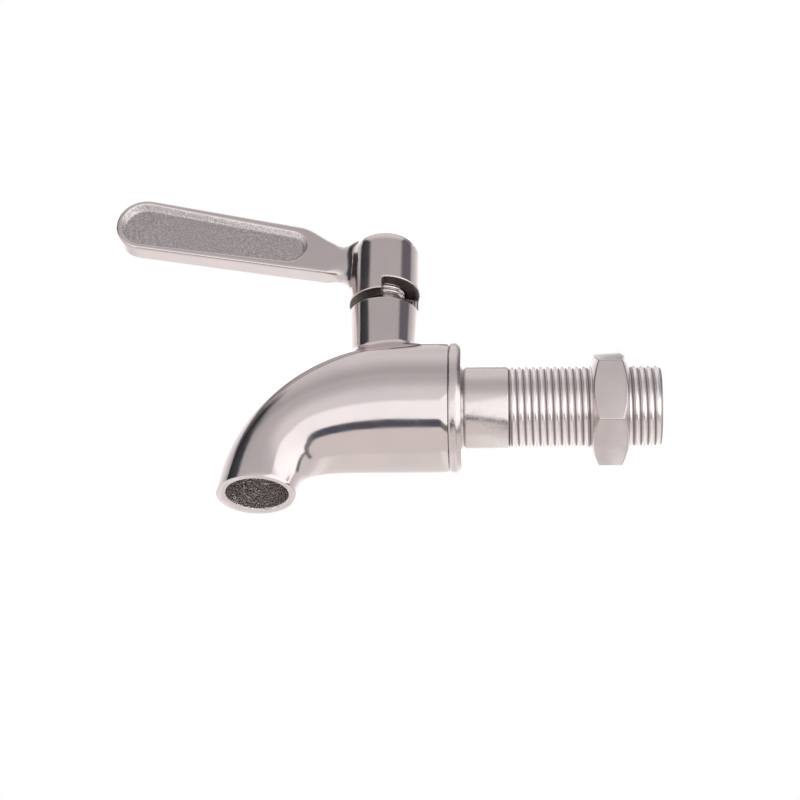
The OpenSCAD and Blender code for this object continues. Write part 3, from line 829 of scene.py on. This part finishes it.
def shank_core():
    core_r = thread_r - thread_depth - 0.1
    spigot = [(0, -spigot_end), (spigot_r - 0.2, -spigot_end), (spigot_r, -spigot_end + 0.2),
              (spigot_r, -groove_x - groove_w), (groove_r, -groove_x - groove_w),
              (groove_r, -groove_x), (spigot_r, -groove_x), (spigot_r, -flange_t + seam_gap)]
    flange = [(body_r - seam_chamfer - 0.1, -flange_t + seam_gap),
              (body_r - 0.1, -flange_t + seam_chamfer + seam_gap), (body_r, -flange_t + 0.5),
              (body_r, -2.1 * flange_ease), (body_r - 0.1 * flange_ease, -1.8 * flange_ease),
              (body_r - flange_ease, -0.3 * flange_ease), (body_r - 1.3 * flange_ease, 0)]
    shoulder = [(shank_r + undercut, 0), (shank_r - undercut, 2.2 * undercut),
                (shank_r - undercut, 2.4 * undercut), (shank_r, 2.9 * undercut),
                (shank_r, shoulder_len - relief - 0.25), (shank_r - 0.12, shoulder_len - relief)]
    core = [(core_r, shoulder_len), (core_r, shank_len - 0.5), (0, shank_len - 0.5)]
    return moved(revolved("shank", spigot + flange + shoulder + core, shank_sides, steel_turned),
                 ON_SHANK)


def flared_bore():
    """The drilled waterway, with a small flare at both ends."""
    outline = [(0, -spigot_end - 1), (inlet_r + bore_flare + 1, -spigot_end - 1),
               (inlet_r, -spigot_end + bore_flare), (inlet_r, shank_len - bore_flare),
               (inlet_r + bore_flare + 1, shank_len + 1), (0, shank_len + 1)]
    return moved(revolved("bore", outline, 96, steel_turned), ON_SHANK)


# %% Thread and drill it
shank = shank_core()
shank_thread = threaded_bar("thread", thread_r, thread_depth, thread_pitch, shoulder_len + 0.05,
                            shank_len, shank_chamfer, steel_thread)
combine(shank, moved(shank_thread, ON_SHANK), "UNION")
combine(shank, flared_bore(), "DIFFERENCE")
finish_piece(shank, "tap_body", "turned_steel", "threaded_shank")

# %% [markdown]
# ## The lock nut
# A nut is a hexagon turned between two cones, which leaves the curved corners that everyone knows.
# So a six-sided cylinder is intersected with a revolved blank, its edges are eased as tumbling
# does, and the thread is cut with the same helix as the shank's, a little larger.

# %% Blanks of the lock nut
nut_cone = radians(30)
nut_half_flats = 9.75
nut_corner_r = nut_half_flats / cos(nut_cone)
nut_chamfer = 2.15
nut_turn = radians(12.4)
nut_play = 0.06
nut_lead_in = 0.55
nut_edge = 0.24


def hexagon_bar():
    bm = bmesh.new()
    bmesh.ops.create_cone(bm, cap_ends=True, segments=6, radius1=nut_corner_r,
                          radius2=nut_corner_r, depth=nut_t + 2,
                          matrix=Matrix.Translation((0, 0, nut_t / 2))
                          @ Matrix.Rotation(nut_turn - pi / 2, 4, "Z"))
    return as_object("lock_nut_steel", bm, steel_nut)


def turned_blank():
    """The nut's thickness between two cones, which cut its corners."""
    face_r = nut_corner_r - nut_chamfer
    slope = nut_chamfer * sin(nut_cone) / cos(nut_cone)
    out = 1.0
    rise = slope * (nut_chamfer + out) / nut_chamfer
    return revolved("blank", [(0, 0), (face_r, 0), (nut_corner_r + out, rise),
                              (nut_corner_r + out, nut_t - rise), (face_r, nut_t), (0, nut_t)],
                    192, steel_nut)


def lead_in():
    """A cone that opens the thread at the nut's lower face."""
    outline = [(0, -1), (thread_r + nut_lead_in + 1, -1), (thread_r - 0.6, nut_lead_in + 0.6),
               (0, nut_lead_in + 0.6)]
    return revolved("lead", outline, 96, steel_turned)


# %% Cut, ease and tap the nut
nut = hexagon_bar()
combine(nut, turned_blank(), "INTERSECT")
ease = nut.modifiers.new("eased edges", "BEVEL")
ease.width = nut_edge
ease.segments = 3
ease.limit_method = "ANGLE"
ease.angle_limit = radians(20)
apply_modifiers(nut)
combine(nut, threaded_bar("tap", thread_r + nut_play, thread_depth, thread_pitch, -1, nut_t + 1, 0,
                          steel_thread), "DIFFERENCE")
combine(nut, lead_in(), "DIFFERENCE")
turned_over = Matrix.Translation((0, 0, nut_t)) @ Matrix.Rotation(pi, 4, "X")
combine(nut, moved(lead_in(), turned_over), "DIFFERENCE")
moved(nut, Matrix.Translation((nut_x, 0, 0)) @ ON_SHANK)
finish_piece(nut, "nut", "nut_steel", "lock_nut", crease=28)

# %% [markdown]
# ## The lever
# The lever is one casting: a round hub, an arm that grows out of it with soft fillets, and a
# paddle with a sunk, blasted panel in each side. Its parts are lofted and revolved, joined, and
# then remeshed into one even skin, which is smoothed the way grinding rounds every edge. A bevel
# could not follow the blend between hub and arm, because it has no single edge.

# %% Sizes of the lever
hub_r = 6.7
hub_h = 14.3
hub_round = 3.2
hub_dome = 0.25
lever_rise = radians(11.5)
lever_axis_h = 9.26
paddle_tip_h = 11.4
paddle_root_h = 9.9
paddle_half = 1.95
paddle_corner = 0.5
waist_top = 2.15
arm_fillet = 2.5
arm_sweep = 0.25
arm_taper = 0.035
recess_rim = 0.85
recess_root_r = 3.6
recess_slope = 0.85
recess_root_depth = 0.85
recess_tip_depth = 1.3
notch_h = 2.5
notch_from = radians(-91.53)
notch_to = radians(16.53)
skirt_r = 4.0
skirt_h = 4.5
screw_h = 7.5
screw_r = 1.5
tip_r = paddle_tip_h / 2
tip_s = (lever_reach - tip_r) / cos(lever_rise)
waist_s = hub_r + 2.3
root_s = waist_s + 8.8
recess_s = hub_r + 8.7
print("the lever is", round(lever_reach, 2), "mm long from the neck's axis")

# %% [markdown]
# The lever is drawn along its own axis, which rises from the hub by eleven and a half degrees. A
# place on it is a distance s from the neck, a side step y and a height n above that axis, and all
# its heights and widths are functions of s or of the distance from the hub.

# %% Curves of the lever
def mix(a, b, t):
    return a + (b - a) * t


def clamped(t):
    return min(1.0, max(0.0, t))


def eased(t):
    c = clamped(t)
    return c * c * (3 - 2 * c)


def on_lever(s, y, n):
    """The place of a distance along the lever, a side step and a height above its axis."""
    return Vector((-neck_x - s * cos(lever_rise) + n * sin(lever_rise), y,
                   hub_bottom + lever_axis_h + s * sin(lever_rise) + n * cos(lever_rise)))


def half_height(s):
    return mix(paddle_root_h, paddle_tip_h, clamped((s - root_s) / (tip_s - root_s))) / 2


def lever_top(s):
    near_hub = max(0.0, waist_s - max(s, hub_r + 0.1))
    blend = eased((s - waist_s) / (root_s - waist_s))
    return mix(waist_top, half_height(s), blend) + arm_sweep * near_hub ** 2


def lever_bottom(s):
    return -half_height(s) + arm_taper * max(0.0, root_s - s)


def flared(out):
    """How much the arm widens at a distance from the hub's axis, as its sides meet it on arcs."""
    reach = hub_r + arm_fillet
    rise = paddle_half + arm_fillet
    centre = sqrt(reach ** 2 - rise ** 2)
    dip = clamped((centre - max(out, centre * hub_r / reach)) / arm_fillet)
    return 1 + arm_fillet / paddle_half * (1 - sqrt(1 - dip * dip))


def rounded_section(top, bottom, half, corner, steps=6):
    """A rounded rectangle as (side step, height) points."""
    c = min(corner, half, (top - bottom) / 2)
    points = []
    for quarter in range(4):
        for k in range(steps + 1):
            a = pi / 2 * (quarter + k / steps)
            y = half - c if quarter in (0, 3) else c - half
            n = top - c if quarter < 2 else bottom + c
            points.append((y + c * cos(a), n + c * sin(a)))
    return points


# %% [markdown]
# The arm and the paddle are one bar. Its section is a rounded rectangle that is low at the waist,
# high at the paddle and runs out in a half circle at the tip, and near the hub its sides turn
# outwards. A loft takes all this station by station, where an extruded outline would keep one
# thickness.

# %% Loft the arm and the paddle
def lever_blade():
    stations = [mix(hub_r * 0.75, root_s, k / 36) for k in range(37)]
    stations += [mix(root_s, tip_s, k / 12) for k in range(1, 13)]
    sections = [(s, rounded_section(lever_top(s), lever_bottom(s), paddle_half, paddle_corner))
                for s in stations]
    for k in range(1, 17):
        a = pi / 2 * min(k / 16, 0.965)
        edge = paddle_corner * (1 - sqrt(1 - sin(a) ** 8))
        sections.append((tip_s + tip_r * sin(a),
                         rounded_section(tip_r * cos(a), -tip_r * cos(a), paddle_half - edge,
                                         paddle_corner)))
    count = len(sections[0][1])

    def place(turn, ring):
        s, points = sections[ring]
        y, n = points[round(turn * count) % count]
        return on_lever(s, y * flared(s * cos(lever_rise) - n * sin(lever_rise)), n)

    bm = bmesh.new()
    rolled(bm, count, len(sections) - 1, place)
    return as_object("blade", bm, steel_lever)


# %% [markdown]
# The hub is revolved, with a rounded edge and a faint dome. Under the arm stands a web that swings
# out to meet it, so the arm doesn't end in a step. The web flares like the arm, or its sides would
# stand out of the arm's and leave a lump in the blend.

# %% The hub and the web under the arm
def hub_post():
    straight = hub_h - hub_round - hub_dome
    edge = [(hub_r - hub_round + hub_round * cos(a), straight + hub_round * sin(a))
            for a in (pi / 2 * k / 12 for k in range(13))]
    outline = [(0, 0), (hub_r, 0)] + edge + [(0, hub_h)]
    return moved(revolved("lever_casting", outline, 128, steel_lever),
                 ON_NECK @ Matrix.Translation((0, 0, hub_bottom)))


def lever_web():
    low = hub_bottom + notch_h / 2
    high = hub_bottom + lever_axis_h - paddle_root_h / 2 + 2
    levels = 14
    web_reach = 1.9
    sections = []
    for k in range(levels + 1):
        t = k / levels
        out = hub_r - 0.3 + (web_reach + 0.3) * t * t
        half = paddle_half * mix(0.82, 0.97, t)
        sections.append((mix(low, high, t), rounded_section(out, hub_r / 2, half, paddle_corner)))
    count = len(sections[0][1])

    def place(turn, ring):
        z, points = sections[ring]
        y, out = points[round(turn * count) % count]
        return Vector((-neck_x - out, y * flared(out), z))

    bm = bmesh.new()
    rolled(bm, count, levels, place)
    return as_object("web", bm, steel_lever)


# %% [markdown]
# Each side of the paddle has a sunk panel with sloping walls, which gives the thumb its grip. The
# hub's skirt lacks a wedge, and the stop pin runs in the notch that this leaves. Both are cut with
# solids of their own: a loft of three outlines and an extruded wedge.

# %% Cutters for the recesses and the notch
def recess_depth(s):
    return mix(recess_root_depth, recess_tip_depth, (s - recess_s) / (tip_s + tip_r - recess_s))


def recess(side):
    """The sunk panel of one side, with sloping walls and a deeper tip; side is 1 or -1."""
    arc = 24

    def outline(shrink):
        big = tip_r - recess_rim - shrink
        small = recess_root_r - shrink
        near = recess_s + recess_root_r
        angles = [-pi / 2 + pi * k / arc for k in range(arc + 1)]
        return ([(tip_s + big * cos(a), big * sin(a)) for a in angles]
                + [(near - small * cos(a), -small * sin(a)) for a in angles])

    levels = [(1.0, outline(0)), (0.03, outline(0)), (None, outline(recess_slope))]
    count = len(levels[0][1])

    def place(turn, ring):
        out, points = levels[ring]
        s, n = points[round(turn * count) % count]
        return on_lever(s, side * (paddle_half + (-recess_depth(s) if out is None else out)), n)

    bm = bmesh.new()
    rolled(bm, count, 2, place)
    return as_object("recess", bm, steel_lever)


def notch():
    """The wedge that the skirt lacks, in which the stop pin runs."""
    reach = 12.0
    arc = 24
    bm = bmesh.new()
    corners = [bm.verts.new((0, 0, -1))]
    corners += [bm.verts.new((reach * cos(a), reach * sin(a), -1))
                for a in (mix(notch_from, notch_to, k / arc) for k in range(arc + 1))]
    floor = bm.faces.new(corners)
    top = bmesh.ops.extrude_face_region(bm, geom=[floor])["geom"]
    bmesh.ops.translate(bm, vec=(0, 0, notch_h + 1),
                        verts=[v for v in top if isinstance(v, bmesh.types.BMVert)])
    return moved(as_object("notch", bm, steel_lever),
                 ON_NECK @ Matrix.Translation((0, 0, hub_bottom)))


# %% Join the parts of the lever
def lever_solid():
    lever = hub_post()
    combine(lever, lever_blade(), "UNION")
    combine(lever, lever_web(), "UNION")
    combine(lever, notch(), "DIFFERENCE")
    combine(lever, drilled(skirt_r, hub_bottom - 1, hub_bottom + skirt_h, ON_NECK), "DIFFERENCE")
    across = (Matrix.Translation((-neck_x, 0, hub_bottom + screw_h))
              @ Matrix.Rotation(-pi / 2, 4, "X"))
    combine(lever, drilled(screw_r, 0, 20, across, 48), "DIFFERENCE")
    combine(lever, recess(1), "DIFFERENCE")
    combine(lever, recess(-1), "DIFFERENCE")
    return lever


lever = lever_solid()
print("lever before its skin:", len(lever.data.polygons), "faces")

# %% [markdown]
# Grinding takes off more in some places than in others, and so does the smoothing. It moves each
# vertex towards the middle of its neighbours, over and over, in regions: a few rounds ease the
# outer edges, one leaves the panels crisp, and many melt the arm into the hub. That last region is
# worked again and again, a little smaller each time, so no ring shows where it ends. Point tests
# tell which vertices are in which region.

# %% Regions of the lever
blend_from = 4.5
blend_to = 10.4
blend_top = 5.2
blend_side = 5.6
blend_foot = hub_bottom + notch_h + 0.4


def lever_coordinates(point):
    """The distance along the lever and the height above its axis of a point."""
    out = point - on_lever(0, 0, 0)
    return (out.dot(Vector((-cos(lever_rise), 0, sin(lever_rise)))),
            out.dot(Vector((sin(lever_rise), 0, cos(lever_rise)))))


def in_panel(centre):
    """Whether a point lies on the wall or the floor of a recess."""
    s, n = lever_coordinates(centre)
    near = recess_s + recess_root_r
    share = clamped((s - near) / (tip_s - near))
    reach = mix(recess_root_r, tip_r - recess_rim, share)
    inside = (s - mix(near, tip_s, share)) ** 2 + n ** 2 < reach ** 2
    return inside and abs(centre.y) < paddle_half - 0.1


def in_blend(point, inset):
    """Whether a point lies where the arm leaves the hub, this far inside the region's border."""
    s, n = lever_coordinates(point)
    return (blend_from + inset < s < blend_to - inset and n < blend_top - inset
            and abs(point.y) < blend_side - inset and point.z > blend_foot + inset)


# %% Remesh and smooth the lever
voxel_mm = 0.17
edge_rounds = 3
panel_rounds = 1
blend_rounds = 22
blend_insets = (0, 0.3, 0.6, 0.9, 1.2, 1.5)


def ground_smooth(piece):
    """Remeshes a solid into an even skin, rounds its edges and blends the arm into the hub."""
    skin = piece.modifiers.new("skin", "REMESH")
    skin.mode = "VOXEL"
    skin.voxel_size = voxel_mm
    apply_modifiers(piece)
    bm = bmesh.new()
    bm.from_mesh(piece.data)
    panel = [v for v in bm.verts if in_panel(v.co)]
    edges = [v for v in bm.verts if not in_panel(v.co)]
    nested = [([v for v in bm.verts if in_blend(v.co, inset)], blend_rounds)
              for inset in blend_insets]
    for verts, rounds in [(edges, edge_rounds), (panel, panel_rounds)] + nested:
        for _ in range(rounds):
            bmesh.ops.smooth_vert(bm, verts=verts, factor=0.5, use_axis_x=True, use_axis_y=True,
                                  use_axis_z=True)
    bm.to_mesh(piece.data)
    bm.free()


ground_smooth(lever)
print("lever with its skin:", len(lever.data.polygons), "faces")

# %% [markdown]
# Remeshing takes the finish of single faces away, so the rough places are marked afterwards: the
# floors and the walls of the two sunk panels, and the underside and notch of the hub, which nobody
# polishes. The walls get the lighter copy of the blasted steel, which is painted light, and the
# underside and notch get the darker raw steel, which is painted shade. The same kind of test, on the
# middle of each face, picks them out.

# %% Mark the rough places
def on_wall(centre):
    """Whether a point of a recess lies on its sloping wall."""
    return abs(centre.y) > paddle_half - recess_depth(lever_coordinates(centre)[0]) + 0.14


def in_skirt(centre):
    """Whether a point lies on the hub's underside or in its notch."""
    r = sqrt((centre.x + neck_x) ** 2 + centre.y ** 2)
    low = hub_bottom + notch_h + 0.12
    return centre.z < low and r < hub_r - 0.12 or r < skirt_r + 0.2 and centre.z < hub_bottom + 6


lever.data.materials.clear()
for finish in (steel_lever, steel_painted_shade, steel_blasted, steel_painted_light_wall):
    lever.data.materials.append(finish)
for face in lever.data.polygons:
    if in_panel(face.center):
        # The sloping walls take the lighter copy, which is painted light
        face.material_index = 3 if on_wall(face.center) else 2
    else:
        # The hub's underside and notch take the darker copy, which is painted shade
        face.material_index = 1 if in_skirt(face.center) else 0
finish_piece(lever, "lever_set", "cast_steel_lever", "lever", crease=180)

# %% [markdown]
# ## The stem's thread
# Through the notch the photograph shows two bright ridges on the stem, the end of the thread that
# draws the lever down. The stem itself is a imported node, so its thread is a short sleeve on it,
# made by the same sheared sheet.

# %% The stem's thread
stem_pitch = 0.92
stem_thread_r = 3.85
stem_thread_depth = 0.42
stem_thread_from = hub_bottom + 1.15
stem_thread_to = hub_bottom + skirt_h - 0.05
stem_thread = threaded_bar("stem_thread", stem_thread_r, stem_thread_depth, stem_pitch,
                           stem_thread_from, stem_thread_to, 0, steel_ball, sides=72,
                           profile=rolled_profile)
moved(stem_thread, ON_NECK)
finish_piece(stem_thread, "lever_set", "turned_steel")

# %% [markdown]
# ## Floor and lamps
# The tap hangs in a wall, so the floor lies well below it and below the camera. It is pale paper,
# and it is kept out of reflections, where the tent already shows it. Photographers let such a sheet
# sweep up behind the object, which hides the horizon. Here it fades out with the distance from the
# tap instead, which looks the same from every side.

# %% The floor
floor_z = -0.27
floor_size = 3.0
fade_from = 0.1
bm = bmesh.new()
bmesh.ops.create_grid(bm, x_segments=1, y_segments=1, size=floor_size / 2,
                      matrix=Matrix.Translation((0, 0, floor_z)))
floor_mesh = bpy.data.meshes.new("floor")
bm.to_mesh(floor_mesh)
bm.free()
paper, tree, shader, place = new_finish("pale paper sweep", "#F2F1F0", 0.0, 0.8)
away = add_node(tree, "VectorMath", {0: place}, operation="LENGTH").outputs["Value"]
fade = add_node(tree, "MapRange", {"Value": away, "From Min": fade_from,
                                   "From Max": floor_size / 2, "To Min": 1.0, "To Max": 0.0},
                interpolation_type="SMOOTHSTEP")
tree.links.new(fade.outputs[0], shader.inputs["Alpha"])
floor_mesh.materials.append(paper)
floor = bpy.data.objects.new("floor", floor_mesh)
floor.visible_glossy = False
bpy.context.scene.collection.objects.link(floor)
print("floor", round(floor_z / MM), "mm from the tap's axis")

# %% [markdown]
# Two large soft lamps shape what is not a mirror, such as the seals and the blasted panels. A tent
# of cloth has no lamp in sight, so they are hidden from the camera and from reflections.

# %% Lamps
def soft_lamp(name, place, size, watts):
    lamp = bpy.data.lights.new(name, "AREA")
    lamp.shape = "DISK"
    lamp.size = size
    lamp.energy = watts
    holder = bpy.data.objects.new(name, lamp)
    holder.matrix_world = (Matrix.Translation(place)
                           @ Vector(place).to_track_quat("Z", "Y").to_matrix().to_4x4())
    holder.visible_glossy = False
    holder.visible_camera = False
    bpy.context.scene.collection.objects.link(holder)


soft_lamp("key_lamp", (-0.5, -0.7, 0.6), 0.5, 3.0)
soft_lamp("fill_lamp", (0.6, -0.6, 0.2), 0.5, 1.5)
print("stage set")
